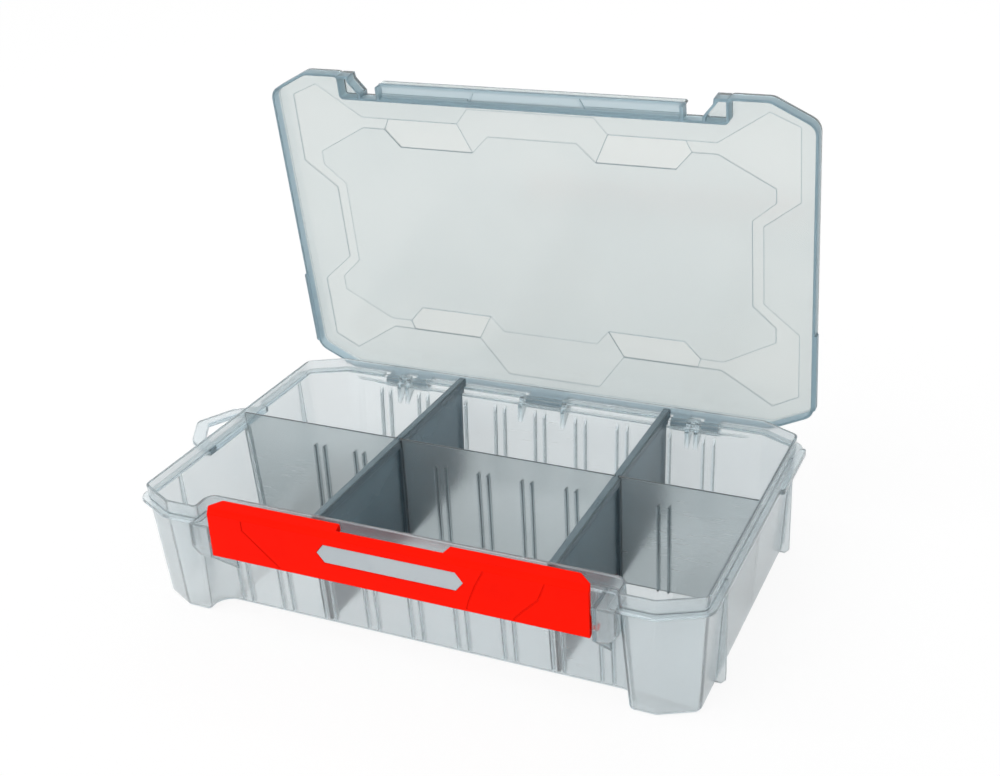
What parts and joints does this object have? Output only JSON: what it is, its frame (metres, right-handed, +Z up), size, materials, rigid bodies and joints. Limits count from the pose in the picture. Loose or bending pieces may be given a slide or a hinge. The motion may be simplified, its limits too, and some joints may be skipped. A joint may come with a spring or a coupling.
{
  "type": "tackle box",
  "caption": "Deep clear plastic tackle box with a hinged lid shown open, a swinging front latch, a side hanging loop and lift-out dividers.",
  "frame": {"origin": "centre of the tray's footprint, on the surface that it stands on", "axes": "+X to the right as the latch is faced, along the length; +Y to the back, towards the hinge; +Z up"},
  "size_m": [0.3879, 0.241, 0.284],
  "materials": {
    "tray_plastic": "clear, faint grey-blue, gloss",
    "lid_plastic": "clear, faint grey, gloss",
    "latch_plastic": "opaque red, satin gloss",
    "label_plastic": "opaque pale grey, matte",
    "long_divider_plastic": "smoky grey-blue, translucent, gloss",
    "short_divider_plastic": "clear grey-blue, gloss"
  },
  "bodies": {
    "tray": {"tray": "tray_plastic"},
    "lid": {"lid": "lid_plastic"},
    "latch": {"latch": "latch_plastic", "label_plate": "label_plastic"},
    "long_divider_left": {"long_divider_left": "long_divider_plastic"},
    "long_divider_right": {"long_divider_right": "long_divider_plastic"},
    "short_divider_left": {"short_divider_left": "short_divider_plastic"},
    "short_divider_centre": {"short_divider_centre": "short_divider_plastic"},
    "short_divider_right": {"short_divider_right": "short_divider_plastic"}
  },
  "joints": [
    {"name": "lid_hinge", "type": "hinge", "parent": "tray", "child": "lid", "pos_m": [0, 0.1119, 0.0616], "axis": [-1, 0, 0], "range_deg": [-82.7, 27.3]},
    {"name": "latch_hinge", "type": "hinge", "parent": "tray", "child": "latch", "pos_m": [0, -0.1075, 0.0547], "axis": [1, 0, 0], "range_deg": [-8.7, 95]},
    {"name": "long_divider_left_lift", "type": "slide", "parent": "tray", "child": "long_divider_left", "axis": [0, 0, 1], "range_m": [0, 0.08]},
    {"name": "long_divider_right_lift", "type": "slide", "parent": "tray", "child": "long_divider_right", "axis": [0, 0, 1], "range_m": [0, 0.08]},
    {"name": "short_divider_left_lift", "type": "slide", "parent": "tray", "child": "short_divider_left", "axis": [0, 0, 1], "range_m": [0, 0.08]},
    {"name": "short_divider_centre_lift", "type": "slide", "parent": "tray", "child": "short_divider_centre", "axis": [0, 0, 1], "range_m": [0, 0.08]},
    {"name": "short_divider_right_lift", "type": "slide", "parent": "tray", "child": "short_divider_right", "axis": [0, 0, 1], "range_m": [0, 0.08]}
  ]
}
